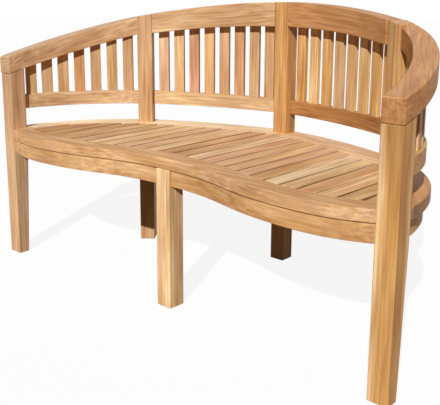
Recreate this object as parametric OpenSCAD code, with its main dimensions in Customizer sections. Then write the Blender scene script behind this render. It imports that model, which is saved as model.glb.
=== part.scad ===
// Curved three-seat garden bench in teak: a back and arms that bend round the sitters as one line,
// a peanut-shaped slatted seat, three front legs and three rear legs that rise through the back.
// +X runs to the right as seen from the front, -Y is the front, and the floor is Z = 0.

/* [Overall size] */
// Width over the outer faces of the front legs
bench_w = 1482; // [1400:10:1640]
// Depth over the seat boards, from the front bulges to the rear edge
bench_d = 666; // [640:2:720]
// Height of the top face of the seat
seat_h = 438; // [400:2:470]
// Height of the arm's top at its front end
arm_h = 678; // [650:1:700]
// Height of the top rail over the outer rear legs
side_h = 813; // [790:1:840]
// Height of the top rail over the middle rear leg
back_h = 860; // [845:1:900]

/* [Legs] */
// Side of the square front legs
leg = 54; // [50:1:60]
// Depth of an outer front leg at the floor, narrowed on its rear face
leg_foot = 38; // [38:1:50]
// Side of the square rear legs
post = 52; // [48:1:56]
// Distance of the outer front legs behind the furthest front of the seat
leg_back = 38; // [30:1:50]
// Distance of the middle front leg behind the outer ones
mid_back = 36; // [20:1:45]
// Distance of the outer rear legs inside the outer faces of the front legs
side_in = 247; // [230:1:260]
// Distance of the outer rear legs in front of the middle one
side_fwd = 162; // [150:1:180]
// Turn of the outer rear legs towards the sitters
side_turn = 38; // [34:1:42]

/* [Back] */
// Bulge of the back between two rear legs
back_bulge = 26; // [10:1:40]
// Width of the top rail, across its top
rail_w = 50; // [44:1:52]
// Height of the top rail at the middle leg
rail_mid_h = 78; // [70:1:84]
// Height of the top rail at the outer rear legs
rail_side_h = 67; // [62:1:72]
// How far the arm's top ends below the top rail at the rear leg
arm_drop = 3; // [2:1:12]
// Height of the arm's section
arm_t = 56; // [50:1:60]
// How far the arm's inner side stands behind the front of the rear leg
arm_set = 14; // [10:1:18]
// How far its outer side stands inside the back of the rear leg
arm_rear = 4; // [0:1:8]
// How far the arm stands outside the front leg on either side
arm_side = 2; // [0:0.5:4]
// Bulge of the arm's inner side
arm_in_bulge = 33; // [24:1:42]
// Bulge of the arm's outer side
arm_out_bulge = 50; // [44:1:60]
// Bulge of the middle line of the slats below the arm
arm_bulge = 42; // [34:1:50]
// Sag of the arm's top between its ends
arm_sag = 4; // [0:0.5:8]
// How far the arm's end stands in front of the leg
arm_over = 2; // [0:0.5:6]
// Slope taken off the long edges of the top rail
rail_ease = 3; // [1:0.5:6]
// Thickness of the lower back rail
low_t = 28; // [22:1:32]
// Height of the lower back rail
low_h = 45; // [36:1:60]
// Height of the underside of the lower back rail above the seat
low_gap = 63; // [50:1:80]
// Width of a back slat
slat_w = 36; // [30:1:40]
// Thickness of a back slat
slat_t = 14; // [10:0.5:18]
// Distance of the back's slats and lower rails behind the middle of the rear legs
slat_back = 11.5; // [0:0.5:12]
// Back slats between two rear legs
back_slats = 8; // [6:1:9]
// Back slats between a rear leg and a front leg
side_slats = 7; // [5:1:8]
// Depth that a back slat enters a rail
slat_in = 14; // [10:1:18]

/* [Seat] */
// Thickness of the boards round the seat
board_t = 31; // [28:1:38]
// Width of the front board
front_w = 62; // [56:1:74]
// Distance of the front bulges inside the outer faces of the front legs
bulge_in = 231; // [210:1:260]
// Depth of the hollow in the middle of the front edge
hollow = 76; // [50:1:90]
// Distance of the front edge behind the leg's front face where they meet
edge_back = 4; // [1:0.5:10]
// Reach of the rear board behind the middle line of the back
rim_out = 39; // [34:1:44]
// Reach of the rear board in front of that line at the middle leg
rim_in = 48; // [42:1:54]
// Reach of the boards in front of that line at the outer rear legs
rim_side_in = 60; // [54:1:68]
// Width of the side board at the front leg
side_w = 70; // [64:1:78]
// Bulge of the inner edge of the rear board
in_back_bulge = 24; // [16:1:32]
// Bulge of the inner edge of the side board
in_side_bulge = 49; // [40:1:58]
// Bulge of the side board's outer edge
rim_bulge = 54; // [46:1:62]
// Distance of the side board's edge inside the leg's outer face
rim_end = 7; // [2:1:14]
// Distance of the outermost slats' outer gaps inside the outer faces of the front legs
seat_side = 59.75; // [52:0.25:68]
// Gap between two seat slats
seat_gap = 8; // [4:0.5:12]
// Thickness of a seat slat
seat_t = 18; // [16:1:22]
// Length of the tongue on each end of a seat slat
tongue = 9; // [6:0.5:12]
// Height of that tongue
tongue_h = 8; // [6:0.5:10]

/* [Rails under the seat] */
// Height of the rails under the seat
apron_h = 47; // [40:1:54]
// Thickness of those rails
apron_t = 22; // [18:1:26]
// Distance of the front rail behind the front board's edge
apron_back = 5; // [3:0.5:9]
// Distance of the rear and side rails inside the boards' edge
apron_in = 15; // [14:1:22]
// Width of the stretcher and the bearers that carry the slats
bearer_w = 24; // [20:1:34]
// Distance of the bearers behind the furthest front of the seat
bearer_back = 330; // [280:5:380]

/* [Joints] */
// Clearance round every tenon, notch and tongue
fit = 0.3; // [0.2:0.05:0.5]
// Depth of the tenons
tenon = 18; // [14:1:19]
// Thickness of the tenons
tenon_t = 11; // [9:1:13]
// Height of wood left above and below a tenon
shoulder = 8; // [5:1:11]
// Diameter of the pegs that lock the tenons
peg_d = 8; // [6:0.5:10]
// Length of a peg
peg_l = 34; // [28:1:38]
// Diameter of the dowels between the boards and the rails
dowel_d = 10; // [8:0.5:12]
// Length of a dowel
dowel_l = 38; // [30:1:44]
// Radial clearance of a peg or a dowel
round_fit = 0.05; // [0.02:0.01:0.1]

/* [Hidden] */
SEAT_SLATS = 25;

$fn = 120;
steps = 18;
fall_power = 1.8;
// Reach of a cut past the wood, and of tenons back into long, middling and short rails
past = 10;
long_root = 20;
root = 12;
short_root = 6;
// Reach of a bearer's tenon back into the bearer
bearer_root = 8;
big = 3000;
wood = [0.80, 0.58, 0.34];
pale = [0.88, 0.69, 0.45];
dark = [0.70, 0.46, 0.25];

// Plan of the right half: middles of the legs
side_x = bench_w / 2 - side_in;
bulge_x = bench_w / 2 - bulge_in;
seat_pitch = (bench_w - 2 * seat_side) / SEAT_SLATS;
front_y = -bench_d / 2 + leg_back;
front_leg = [bench_w / 2 - leg / 2, front_y + leg / 2];
mid_leg = [0, front_y + mid_back + leg / 2];
rear_mid = [0, bench_d / 2 - rim_out];
rear_side = [side_x, rear_mid.y - side_fwd];

// Heights
arm_rear_h = side_h - arm_drop;
board_z = seat_h - board_t;
apron_z = board_z - apron_h;
low_z = seat_h + low_gap;
slat_z = seat_h - seat_t;
tongue_z = seat_h - (seat_t + tongue_h) / 2;

// Arcs through two points with a given bulge to the outside
function turned(v) = [-v.y, v.x];
function unit(v) = v / norm(v);
function arc_r(a, b, s) = (pow(norm(b - a) / 2, 2) + s * s) / (2 * s);
function arc_c(a, b, s) = (a + b) / 2 - turned(unit(b - a)) * (arc_r(a, b, s) - s);
function bearing(c, p) = atan2(p.y - c.y, p.x - c.x);
function at(c, r, a) = c + r * [cos(a), sin(a)];
function arc(c, r, a, b, n = steps) = [for (i = [0 : n]) at(c, r, a + (b - a) * i / n)];
function mixed(a, b, t) = a + (b - a) * t;
function mirrored(list) = [for (i = [len(list) - 1 : -1 : 0]) [-list[i].x, list[i].y]];
function joined(a, b) = concat([for (i = [0 : len(a) - 2]) a[i]], [(a[len(a) - 1] + b[0]) / 2], tail(b));
function reversed(list) = [for (i = [len(list) - 1 : -1 : 0]) list[i]];
function tail(list) = [for (i = [1 : len(list) - 1]) list[i]];

// Middle line of the back from the middle leg to the outer rear leg
back_r = arc_r(rear_mid, rear_side, back_bulge);
back_c = arc_c(rear_mid, rear_side, back_bulge);
back_a = bearing(back_c, rear_mid);
back_b = bearing(back_c, rear_side);
back_len = back_r * (back_a - back_b) * PI / 180;

// Point in the outer rear leg's own axes, x across it and y to its back
function on_side_leg(x, y) = rear_side
    + [x * cos(side_turn) + y * sin(side_turn), -x * sin(side_turn) + y * cos(side_turn)];

// Inner side, outer side and middle line of the arm, from the rear leg to the front leg
leg_rear_y = front_leg.y + leg / 2;
arm_mid_off = (arm_set - arm_rear) / 2;
arm_front = [bench_w / 2 - leg - arm_side, bench_w / 2 + arm_side];
in_a = on_side_leg(post / 2, -post / 2 + arm_set);
in_b = [arm_front[0], leg_rear_y];
out_a = on_side_leg(post / 2, post / 2 - arm_rear);
out_b = [arm_front[1], leg_rear_y];
arm_from = on_side_leg(post / 2, arm_mid_off);
arm_to = [front_leg.x, leg_rear_y];
in_r = arc_r(in_a, in_b, arm_in_bulge);
in_c = arc_c(in_a, in_b, arm_in_bulge);
out_r = arc_r(out_a, out_b, arm_out_bulge);
out_c = arc_c(out_a, out_b, arm_out_bulge);
arm_r = arc_r(arm_from, arm_to, arm_bulge);
arm_c = arc_c(arm_from, arm_to, arm_bulge);
arm_a = bearing(arm_c, arm_from);
arm_b = bearing(arm_c, arm_to);
arm_len = arm_r * (arm_a - arm_b) * PI / 180;

// Front edge of the seat: a hollow, then a bulge, then a tighter turn back to the leg
wave_r = (pow(bulge_x, 2) + pow(hollow, 2)) / (4 * hollow);
wave_a = asin(bulge_x / 2 / wave_r);
peak_y = -bench_d / 2;
hollow_c = [0, peak_y + hollow - wave_r];
peak_c = [bulge_x, peak_y + wave_r];
turn_x = front_leg.x - leg / 2 - bulge_x;
turn_y = front_y + edge_back - peak_y;
turn_r = (pow(turn_x, 2) + pow(turn_y, 2)) / (2 * turn_y);
turn_c = [bulge_x, peak_y + turn_r];
function turn_a(o) = asin((turn_x + leg / 2) / (turn_r - o));

// Outer edge of the side board
rim_a_pt = rear_side + rim_out * [sin(side_turn), cos(side_turn)];
rim_b_pt = [bench_w / 2 - rim_end, leg_rear_y];
rim_r = arc_r(rim_a_pt, rim_b_pt, rim_bulge);
rim_c = arc_c(rim_a_pt, rim_b_pt, rim_bulge);

// Points of the front edge, moved back by o, from left to right
function front_half(o) = concat(
    arc(hollow_c, wave_r + o, 90, 90 - wave_a),
    tail(arc(peak_c, wave_r - o, 270 - wave_a, 270)),
    tail(arc(turn_c, turn_r - o, 270, 270 + turn_a(o)))
);
function front_line(o) = concat(mirrored(tail(front_half(o))), front_half(o));

// Inner edge of the boards round the slats, moved out by o, from the middle to the right front leg
slats_a = rear_mid - [0, rim_in];
slats_b = on_side_leg(0, -rim_side_in);
slats_c = [bench_w / 2 - rim_end - side_w, leg_rear_y];
in_back_r = arc_r(slats_a, slats_b, in_back_bulge);
in_back_c = arc_c(slats_a, slats_b, in_back_bulge);
in_side_r = arc_r(slats_b, slats_c, in_side_bulge);
in_side_c = arc_c(slats_b, slats_c, in_side_bulge);
function back_edge(o, past_a = 0, past_b = 0) = arc(in_back_c, in_back_r + o,
    bearing(in_back_c, slats_a) + past_a, bearing(in_back_c, slats_b) - past_b);
function side_edge(o, past_a = 0, past_b = 0) = arc(in_side_c, in_side_r + o,
    bearing(in_side_c, slats_b) + past_a, bearing(in_side_c, slats_c) - past_b);
function rim_half(o) = joined(back_edge(o), side_edge(o, 0, 12));

// Height of the top rail's top and underside, t from the middle leg to the outer one
function back_top(t) = back_h - (back_h - side_h) * pow(t, fall_power);
function back_under(t) = back_top(t) - mixed(rail_mid_h, rail_side_h, t);
// Height of the arm's top and underside at y, which runs from front to back
arm_y0 = front_y - arm_over;
function arm_u(y) = (y - arm_y0) / (out_a.y - arm_y0);
function arm_top(y) = mixed(arm_h, arm_rear_h, arm_u(y)) - 4 * arm_sag * arm_u(y) * (1 - arm_u(y));
function arm_under(y) = arm_top(y) - arm_t;

// Stations of a rail, each with the inner and the outer point of its top and of its underside
function station(p, q, top_p, top_q, low_p, low_q) = [p, q, top_p, top_q, low_p, low_q];
back_stations = [
    for (i = [0 : steps])
        let (t = i / steps, a = mixed(back_a, back_b, t), h = rail_w / 2, m = (post - rail_w) / 2)
        station(
            at(back_c, back_r - h - m, a), at(back_c, back_r + h - m, a),
            back_top(t), back_top(t), back_under(t), back_under(t)
        )
];
function arm_station(p, q) = station(p, q, arm_top(p.y), arm_top(q.y), arm_under(p.y), arm_under(q.y));
arm_stations = concat(
    [
        for (i = [-1 : steps])
            let (
                t = i / steps,
                p = at(in_c, in_r, mixed(bearing(in_c, in_a), bearing(in_c, in_b), t)),
                q = at(out_c, out_r, mixed(bearing(out_c, out_a), bearing(out_c, out_b), t))
            )
            arm_station(p, q)
    ],
    [arm_station([bench_w / 2 - leg + 0.5, arm_y0], [arm_front[1], arm_y0])]
);

// Eight corners of a rail's section at a station; e eases its long edges
function corner(s, x, z) = let (w = norm(s[1] - s[0]), p = mixed(s[0], s[1], x / w)) [p.x, p.y, z];
function section(s) =
    let (w = norm(s[1] - s[0]), e = rail_ease)
    [
        corner(s, e, s[4]), corner(s, w - e, s[5]),
        corner(s, w, s[5] + e), corner(s, w, s[3] - e),
        corner(s, w - e, s[3]), corner(s, e, s[2]),
        corner(s, 0, s[2] - e), corner(s, 0, s[4] + e)
    ];

// A solid through the sections of a row of stations
module swept(stations) {
    n = 8;
    last = len(stations) - 1;
    points = [for (s = stations) each section(s)];
    walls = [
        for (i = [0 : last - 1], j = [0 : n - 1])
            let (a = i * n + j, b = i * n + (j + 1) % n)
            each [[a, b + n, b], [a, a + n, b + n]]
    ];
    ends = [
        for (j = [1 : n - 2])
            each [[0, j, j + 1], [last * n, last * n + j + 1, last * n + j]]
    ];
    polyhedron(points = points, faces = concat(walls, ends));
}

// A straight prism round a leg, grown by g
module leg_prism(p, turn, size, g) {
    translate([p.x, p.y, -past])
        rotate([0, 0, turn])
            translate([-size / 2 - g, -size / 2 - g, 0])
                cube([size + 2 * g, size + 2 * g, back_h + 2 * past]);
}
module rear_side_prism(g) { leg_prism(rear_side, -side_turn, post, g); }
module rear_mid_prism(g) { leg_prism(rear_mid, 0, post, g); }
module front_leg_prism(g) { leg_prism(front_leg, 0, leg, g); }

// Square leg round p, from the floor to h_front at its front and h_rear at its back
module square_leg(p, size, foot, h_front, h_rear) {
    y0 = p.y - size / 2;
    translate([p.x - size / 2, 0, 0])
        rotate([90, 0, 90])
            linear_extrude(size)
                polygon([
                    [y0, 0], [y0 + foot, 0], [y0 + size, apron_z],
                    [y0 + size, h_rear], [y0, h_front]
                ]);
}

// Block on a leg's face, from `deep` inside it to `out` outside; off is its place across the face
module block(p, turn, size, face, off, z0, z1, deep, out, g = 0) {
    translate([p.x, p.y, z0 - g])
        rotate([0, 0, turn + face])
            translate([size / 2 - deep - g, off - tenon_t / 2 - g, 0])
                cube([deep + out + g, tenon_t + 2 * g, z1 - z0 + 2 * g]);
}

// Level tenons of the rails: low and high are the rail's underside and top
module rail_tenon(p, turn, size, face, off, low, high, out) {
    block(p, turn, size, face, off, low + shoulder, high - shoulder, tenon, out);
}
module rail_mortise(p, turn, size, face, off, low, high) {
    block(p, turn, size, face, off, low + shoulder, high - shoulder, tenon, 1, fit);
}

// Places of the tenons across the faces of the legs
rear_off = apron_mid_out();
function apron_mid_out() = rim_out - apron_in - apron_t / 2;
front_off = front_y + edge_back + apron_back + apron_t / 2 - front_leg.y;
side_off = bench_w / 2 - rim_end - apron_in - apron_t / 2 - front_leg.x;
mid_off = peak_y + hollow + apron_back + apron_t / 2 - mid_leg.y;
// Levels that the tenons of the sloping rails share with the legs
mid_top_lo = back_under(post / 2 / back_len) + 2;
mid_top_hi = back_top(post / 2 / back_len) - 2;
side_back_lo = back_under(1 - post / 2 / back_len) + 2;
side_back_hi = back_top(1) - 2;
side_arm_lo = arm_under(out_a.y) + 2;
side_arm_hi = arm_top(in_a.y) - 2;

// Locking pegs. The list holds point, turn, leg size, face that the peg enters, place across it, height
mid_low = low_z + low_h / 2;
mid_apron = apron_z + apron_h / 2;
peg_in = tenon / 2;
function side_pair(p, turn, za, zb) = [
    for (k = [-1, 1])
        let (x = k * (post / 2 - peg_in))
        each [
            [p, turn, post, 90, -x, k < 0 ? za : zb],
            [p, turn, post, 90, -x, mid_low],
            [p, turn, post, 90, -x, mid_apron]
        ]
];
right_pegs = concat(
    side_pair(rear_side, -side_turn, (side_back_lo + side_back_hi) / 2, (side_arm_lo + side_arm_hi) / 2),
    [
        [front_leg, 0, leg, 180, -(leg / 2 - peg_in), mid_apron],
        [front_leg, 0, leg, 90, leg / 2 - peg_in, mid_apron]
    ]
);
middle_pegs = concat(
    side_pair(rear_mid, 0, (mid_top_lo + mid_top_hi) / 2, (mid_top_lo + mid_top_hi) / 2),
    [
        [mid_leg, 0, leg, 90, leg / 2 - peg_in, mid_apron],
        [mid_leg, 0, leg, 90, -(leg / 2 - peg_in), mid_apron]
    ]
);
module peg(k, g) {
    translate([k[0].x, k[0].y, k[5]])
        rotate([0, 0, k[1] + k[3]])
            translate([k[2] / 2 - peg_l - g, k[4], 0])
                rotate([0, 90, 0])
                    cylinder(d = peg_d + 2 * g, h = peg_l + (g > 0 ? 1 + g : 0));
}
module pegs(list, g) { for (k = list) peg(k, g); }

// Upright dowels of the right half, between the boards and the rails below them
apron_mid_front = apron_back + apron_t / 2;
side_rail_r = rim_r - apron_in - apron_t / 2;
rim_a = bearing(rim_c, rim_a_pt);
rim_b = bearing(rim_c, rim_b_pt);
dowel_points = [
    at(hollow_c, wave_r + apron_mid_front, 90 - wave_a * 0.55),
    at(peak_c, wave_r - apron_mid_front, 270 - wave_a * 0.6),
    at(turn_c, turn_r - apron_mid_front, 275),
    at(back_c, back_r + apron_mid_out(), mixed(back_a, back_b, 0.25)),
    at(back_c, back_r + apron_mid_out(), mixed(back_a, back_b, 0.7)),
    at(rim_c, side_rail_r, mixed(rim_a, rim_b, 0.3)),
    at(rim_c, side_rail_r, mixed(rim_a, rim_b, 0.75))
];
module dowels(g) {
    for (p = dowel_points)
        translate([p.x, p.y, board_z - dowel_l / 2 - g])
            cylinder(d = dowel_d + 2 * g, h = dowel_l + 2 * g);
}

// Half of the plan on one side of a line through p at angle a
module beside(p, a, left) {
    translate([p.x, p.y])
        rotate([0, 0, a])
            translate([-big / 2, left ? fit / 2 : -big - fit / 2])
                square([big, big]);
}

// Plan inside the rear and side boards, moved out by o, and plan in front of the front board's rear edge
module inside_rim(o) {
    half = rim_half(o);
    end_x = half[len(half) - 1].x;
    far_y = peak_y - 5 * past;
    left = mirrored(reversed(tail(half)));
    polygon(concat([[end_x, far_y]], reversed(half), left, [[-end_x, far_y]]));
}
module before_front(o) {
    line = front_line(o);
    polygon(concat(line, [[big / 2, line[len(line) - 1].y], [big / 2, -big / 2], [-big / 2, -big / 2],
        [-big / 2, line[len(line) - 1].y]]));
}
module opening(g) {
    difference() {
        inside_rim(g);
        before_front(front_w - g);
    }
}
module groove() {
    translate([0, 0, tongue_z - fit])
        linear_extrude(tongue_h + 2 * fit) opening(tongue + fit);
}

// Plan of the boards
module front_band(o0, o1) { polygon(concat(front_line(o0), reversed(front_line(o1)))); }
module rear_band() {
    intersection() {
        polygon(concat(
            arc(back_c, back_r + rim_out, back_a + 3, back_b - 4),
            reversed(back_edge(0, 3, 4))
        ));
        translate([fit / 2, -big / 2]) square([big, big]);
        beside(rear_side, 90 - side_turn, true);
    }
}
module side_band() {
    intersection() {
        polygon(concat(arc(rim_c, rim_r, rim_a + 6, rim_b - 3), reversed(side_edge(0, 6, 3))));
        beside(rear_side, 90 - side_turn, false);
        translate([0, leg_rear_y + fit]) square([big, big]);
    }
}

// Legs
module front_leg_solid() {
    low_rear = arm_under(leg_rear_y) - fit;
    low_front = arm_under(arm_y0) - fit;
    at_front = mixed(low_front, low_rear, arm_over / (leg + arm_over));
    difference() {
        union() {
            square_leg(front_leg, leg, leg_foot, at_front, low_rear);
            arm_tenon(0);
        }
        rail_mortise(front_leg, 0, leg, 180, -front_off, apron_z, board_z);
        rail_mortise(front_leg, 0, leg, 90, -side_off, apron_z, board_z);
        rail_mortise(front_leg, 0, leg, 90, 0, low_z, low_z + low_h);
        pegs(right_pegs, round_fit);
    }
}
module arm_tenon(g) {
    low = arm_under(arm_y0);
    deep = arm_t * 0.55;
    translate([front_leg.x - tenon_t - g, front_leg.y - tenon - g, low - root])
        cube([2 * (tenon_t + g), 2 * (tenon + g), root + deep + g]);
}
module middle_front_leg() {
    color(wood) difference() {
        square_leg(mid_leg, leg, leg, board_z - fit, board_z - fit);
        rail_mortise(mid_leg, 0, leg, 0, mid_off, apron_z, board_z);
        rail_mortise(mid_leg, 0, leg, 180, -mid_off, apron_z, board_z);
        rail_mortise(mid_leg, 0, leg, 90, 0, apron_z, board_z);
        pegs(middle_pegs, round_fit);
    }
}
module middle_rear_leg() {
    color(wood) difference() {
        square_leg(rear_mid, post, post, back_h, back_h);
        for (face = [0, 180]) {
            s = face == 0 ? 1 : -1;
            rail_mortise(rear_mid, 0, post, face, 0, mid_top_lo, mid_top_hi);
            rail_mortise(rear_mid, 0, post, face, s * slat_back, low_z, low_z + low_h);
            rail_mortise(rear_mid, 0, post, face, s * rear_off, apron_z, board_z);
        }
        rail_mortise(rear_mid, 0, post, 270, 0, apron_z, board_z);
        pegs(middle_pegs, round_fit);
    }
}
module rear_leg_solid() {
    fall = fall_power * post * (back_h - side_h) / back_len;
    difference() {
        translate([rear_side.x, rear_side.y, 0])
            rotate([0, 0, -side_turn])
                translate([0, post / 2, 0])
                    rotate([90, 0, 0])
                        linear_extrude(post)
                            polygon([
                                [-post / 2, 0], [post / 2, 0],
                                [post / 2, side_h - fall / 2], [-post / 2, side_h + fall / 2]
                            ]);
        rail_mortise(rear_side, -side_turn, post, 180, 0, side_back_lo, side_back_hi);
        rail_mortise(rear_side, -side_turn, post, 0, arm_mid_off, side_arm_lo, side_arm_hi);
        rail_mortise(rear_side, -side_turn, post, 180, -slat_back, low_z, low_z + low_h);
        rail_mortise(rear_side, -side_turn, post, 0, arm_mid_off, low_z, low_z + low_h);
        for (face = [0, 180]) {
            s = face == 0 ? 1 : -1;
            rail_mortise(rear_side, -side_turn, post, face, s * rear_off, apron_z, board_z);
        }
        pegs(right_pegs, round_fit);
    }
}
module right_front_leg() { color(wood) front_leg_solid(); }
module left_front_leg() { color(wood) mirror([1, 0, 0]) front_leg_solid(); }
module right_rear_leg() { color(wood) rear_leg_solid(); }
module left_rear_leg() { color(wood) mirror([1, 0, 0]) rear_leg_solid(); }

// Places of the back slats: middle point, turn, and underside of the rail above
function spread(n, i, length, edge_a, edge_b) =
    let (clear = length - edge_a - edge_b, gap = (clear - n * slat_w) / (n + 1))
    (edge_a + gap + slat_w / 2 + i * (slat_w + gap)) / length;
back_places = [
    for (i = [0 : back_slats - 1])
        let (t = spread(back_slats, i, back_len, post / 2, post / 2), a = mixed(back_a, back_b, t))
        [at(back_c, back_r + slat_back, a), a - 90, back_under(t)]
];
side_places = [
    for (i = [0 : side_slats - 1])
        let (t = spread(side_slats, i, arm_len, 0, 0), a = mixed(arm_a, arm_b, t), p = at(arm_c, arm_r, a))
        [p, a - 90, arm_under(p.y)]
];
module back_slat(place, g) {
    low = low_z + low_h - slat_in - g;
    translate([place[0].x, place[0].y, low])
        rotate([0, 0, place[1]])
            translate([-slat_w / 2 - g, -slat_t / 2 - g, 0])
                cube([slat_w + 2 * g, slat_t + 2 * g, place[2] + slat_in + g - low]);
}
module right_back_slats() { color(pale) for (p = back_places) back_slat(p, 0); }
module left_back_slats() { color(pale) mirror([1, 0, 0]) for (p = back_places) back_slat(p, 0); }
module right_side_slats() { color(pale) for (p = side_places) back_slat(p, 0); }
module left_side_slats() { color(pale) mirror([1, 0, 0]) for (p = side_places) back_slat(p, 0); }

// Top rails and arms
module top_rail_solid() {
    difference() {
        union() {
            difference() {
                swept(back_stations);
                rear_mid_prism(fit);
                rear_side_prism(fit);
            }
            rail_tenon(rear_mid, 0, post, 0, 0, mid_top_lo, mid_top_hi, long_root);
            rail_tenon(rear_side, -side_turn, post, 180, 0, side_back_lo, side_back_hi, long_root);
        }
        for (p = back_places) back_slat(p, fit);
        pegs(right_pegs, round_fit);
        pegs(middle_pegs, round_fit);
    }
}
module arm_solid() {
    difference() {
        union() {
            difference() {
                swept(arm_stations);
                rear_side_prism(fit);
            }
            rail_tenon(rear_side, -side_turn, post, 0, arm_mid_off, side_arm_lo, side_arm_hi, long_root);
        }
        for (p = side_places) back_slat(p, fit);
        arm_tenon(fit);
        pegs(right_pegs, round_fit);
    }
}
module right_top_rail() { color(wood) top_rail_solid(); }
module left_top_rail() { color(wood) mirror([1, 0, 0]) top_rail_solid(); }
module right_arm() { color(wood) arm_solid(); }
module left_arm() { color(wood) mirror([1, 0, 0]) arm_solid(); }

// Curved bar between two angles round c, from r0 to r1 out and z0 to z1 up
module curved_bar(c, r0, r1, a, b, z0, z1) {
    translate([c.x, c.y, z0])
        rotate([0, 0, b])
            rotate_extrude(angle = a - b, $fn = 360)
                translate([r0, 0]) square([r1 - r0, z1 - z0]);
}

// Lower back rails
module lower_back_solid() {
    half_t = low_t / 2;
    r = back_r + slat_back;
    difference() {
        union() {
            difference() {
                curved_bar(back_c, r - half_t, r + half_t, back_a, back_b, low_z, low_z + low_h);
                rear_mid_prism(fit);
                rear_side_prism(fit);
            }
            rail_tenon(rear_mid, 0, post, 0, slat_back, low_z, low_z + low_h, long_root);
            rail_tenon(rear_side, -side_turn, post, 180, -slat_back, low_z, low_z + low_h, long_root);
        }
        for (p = back_places) back_slat(p, fit);
        pegs(right_pegs, round_fit);
        pegs(middle_pegs, round_fit);
    }
}
module lower_side_solid() {
    half_t = low_t / 2;
    difference() {
        union() {
            difference() {
                curved_bar(arm_c, arm_r - half_t, arm_r + half_t, arm_a + 3, arm_b - 3, low_z, low_z + low_h);
                rear_side_prism(fit);
                front_leg_prism(fit);
            }
            rail_tenon(rear_side, -side_turn, post, 0, arm_mid_off, low_z, low_z + low_h, long_root);
            rail_tenon(front_leg, 0, leg, 90, 0, low_z, low_z + low_h, long_root);
        }
        for (p = side_places) back_slat(p, fit);
        pegs(right_pegs, round_fit);
    }
}
module right_back_lower_rail() { color(wood) lower_back_solid(); }
module left_back_lower_rail() { color(wood) mirror([1, 0, 0]) lower_back_solid(); }
module right_side_lower_rail() { color(wood) lower_side_solid(); }
module left_side_lower_rail() { color(wood) mirror([1, 0, 0]) lower_side_solid(); }

// Boards round the seat
module front_seat_board() {
    edge = front_leg.x - leg / 2 - fit;
    color(pale) difference() {
        translate([0, 0, board_z])
            linear_extrude(board_t)
                intersection() {
                    front_band(0, front_w);
                    translate([-edge, -big / 2]) square([2 * edge, big]);
                }
        groove();
        dowels(round_fit);
        mirror([1, 0, 0]) dowels(round_fit);
    }
}
module rear_board_solid() {
    difference() {
        translate([0, 0, board_z]) linear_extrude(board_t) rear_band();
        groove();
        rear_mid_prism(fit);
        rear_side_prism(fit);
        dowels(round_fit);
    }
}
module side_board_solid() {
    difference() {
        translate([0, 0, board_z])
            linear_extrude(board_t)
                difference() {
                    side_band();
                    before_front(front_w + fit);
                }
        groove();
        rear_side_prism(fit);
        dowels(round_fit);
    }
}
module right_rear_board() { color(pale) rear_board_solid(); }
module left_rear_board() { color(pale) mirror([1, 0, 0]) rear_board_solid(); }
module right_side_board() { color(pale) side_board_solid(); }
module left_side_board() { color(pale) mirror([1, 0, 0]) side_board_solid(); }

// Rails under the seat
module front_rail_solid() {
    edge = front_leg.x - leg / 2 - fit;
    inner = leg / 2 + fit;
    difference() {
        union() {
            translate([0, 0, apron_z])
                linear_extrude(apron_h - fit)
                    intersection() {
                        front_band(apron_back, apron_back + apron_t);
                        translate([inner, -big / 2]) square([edge - inner, big]);
                    }
            rail_tenon(mid_leg, 0, leg, 0, mid_off, apron_z, board_z, short_root);
            rail_tenon(front_leg, 0, leg, 180, -front_off, apron_z, board_z, short_root);
        }
        dowels(round_fit);
        pegs(right_pegs, round_fit);
        pegs(middle_pegs, round_fit);
    }
}
module rear_rail_solid() {
    r = back_r + rim_out - apron_in;
    difference() {
        union() {
            difference() {
                curved_bar(back_c, r - apron_t, r, back_a, back_b, apron_z, board_z - fit);
                rear_mid_prism(fit);
                rear_side_prism(fit);
            }
            rail_tenon(rear_mid, 0, post, 0, rear_off, apron_z, board_z, root);
            rail_tenon(rear_side, -side_turn, post, 180, -rear_off, apron_z, board_z, root);
        }
        dowels(round_fit);
        pegs(right_pegs, round_fit);
        pegs(middle_pegs, round_fit);
    }
}
module side_rail_solid() {
    r = rim_r - apron_in;
    difference() {
        union() {
            difference() {
                curved_bar(rim_c, r - apron_t, r, rim_a, rim_b - 4, apron_z, board_z - fit);
                rear_side_prism(fit);
                front_leg_prism(fit);
                translate([0, leg_rear_y - big, 0]) cube([big, big + fit, big]);
            }
            rail_tenon(rear_side, -side_turn, post, 0, rear_off, apron_z, board_z, root);
            rail_tenon(front_leg, 0, leg, 90, -side_off, apron_z, board_z, bearer_root);
        }
        bearer_tenon(fit);
        dowels(round_fit);
        pegs(right_pegs, round_fit);
    }
}
module right_front_rail() { color(wood) front_rail_solid(); }
module left_front_rail() { color(wood) mirror([1, 0, 0]) front_rail_solid(); }
module right_rear_rail() { color(wood) rear_rail_solid(); }
module left_rear_rail() { color(wood) mirror([1, 0, 0]) rear_rail_solid(); }
module right_side_rail() { color(wood) side_rail_solid(); }
module left_side_rail() { color(wood) mirror([1, 0, 0]) side_rail_solid(); }

// Stretcher from front to back and the two bearers across, which carry the slats
bearer_y = peak_y + bearer_back;
bearer_end = rim_c.x + sqrt(pow(rim_r - apron_in - apron_t, 2) - pow(bearer_y - rim_c.y, 2));
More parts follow.
